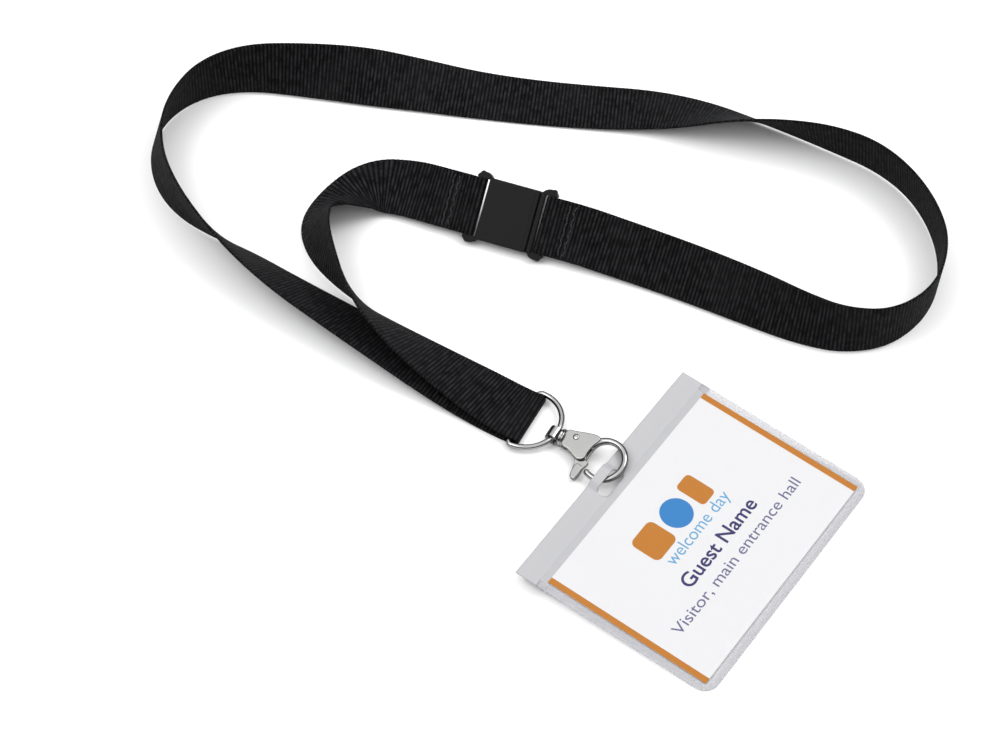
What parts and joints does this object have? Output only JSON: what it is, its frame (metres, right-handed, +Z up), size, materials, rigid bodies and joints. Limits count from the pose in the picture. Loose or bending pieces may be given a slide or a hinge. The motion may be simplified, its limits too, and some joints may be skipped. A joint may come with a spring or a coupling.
{
  "type": "lanyard badge holder",
  "caption": "Flat woven neck lanyard with a breakaway buckle, D-ring and trigger snap hook, carrying a clear welded badge holder with a printed card.",
  "frame": {"origin": "bottom centre of the box round the hardware and badge, with the loose strap left out, on the table", "axes": "+Z up from the table; +X and +Y lie on the table, with +X along the row of the strap's two big loops and +Y from the badge towards the loops"},
  "size_m": [0.274, 0.2554, 0.0211],
  "materials": {
    "webbing": "ribbed black webbing",
    "thread": "black thread",
    "buckle_plastic": "satin black",
    "nickel": "bright nickel plate",
    "spring_steel": "bright wire",
    "grey_vinyl": "frosted vinyl film",
    "clear_vinyl": "clear vinyl film",
    "card_print": "printed card"
  },
  "bodies": {
    "strap": {"strap_short": "webbing", "strap_long": "webbing", "strap_release": "webbing", "strap_fold": "webbing", "strap_loop_female": "webbing", "stitches_female": "thread", "buckle_female": "buckle_plastic"},
    "buckle_male": {"buckle_male": "buckle_plastic", "strap_loop_male": "webbing", "stitches_male": "thread"},
    "d_ring": {"d_ring": "nickel"},
    "swivel_eye": {"swivel_eye": "nickel"},
    "hook": {"hook_body": "nickel", "gate_pin": "nickel", "gate_spring": "spring_steel"},
    "gate": {"gate_lever": "nickel"},
    "holder": {"holder_back": "grey_vinyl", "holder_front": "clear_vinyl", "weld_seam": "clear_vinyl"},
    "card": {"card": "card_print"}
  },
  "joints": [
    {"name": "buckle_release", "type": "slide", "parent": "strap", "child": "buckle_male", "axis": [0.9426, -0.3338, 0], "range_m": [0, 0.014], "deforming": ["strap_release"]},
    {"name": "ring_swing", "type": "hinge", "parent": "strap", "child": "d_ring", "pos_m": [-0.04482, 0.00387, 0.002], "axis": [-0.4695, -0.8829, 0], "range_deg": [-60, 60]},
    {"name": "eye_tilt", "type": "hinge", "parent": "d_ring", "child": "swivel_eye", "pos_m": [-0.03485, -0.00358, 0.00297], "axis": [-0.4924, -0.8704, 0], "range_deg": [-30, 30]},
    {"name": "hook_swivel", "type": "hinge", "parent": "swivel_eye", "child": "hook", "pos_m": [-0.03485, -0.00358, 0.00297], "axis": [0.8629, -0.4882, 0.1305], "continuous": true},
    {"name": "gate_open", "type": "hinge", "parent": "hook", "child": "gate", "pos_m": [-0.02723, -0.00633, 0.00436], "axis": [0.2294, 0.1482, -0.962], "range_deg": [0, 22], "stiffness_Nm_per_rad": 0.01, "springref_deg": -20.05},
    {"name": "badge_swing", "type": "hinge", "parent": "hook", "child": "holder", "pos_m": [-0.01604, -0.02163, 0.00442], "axis": [0.0468, -0.0335, 0.9983], "range_deg": [-20, 20]},
    {"name": "card_slide", "type": "slide", "parent": "holder", "child": "card", "axis": [-0.8124, 0.5803, 0.0576], "range_m": [0, 0.0025]}
  ]
}
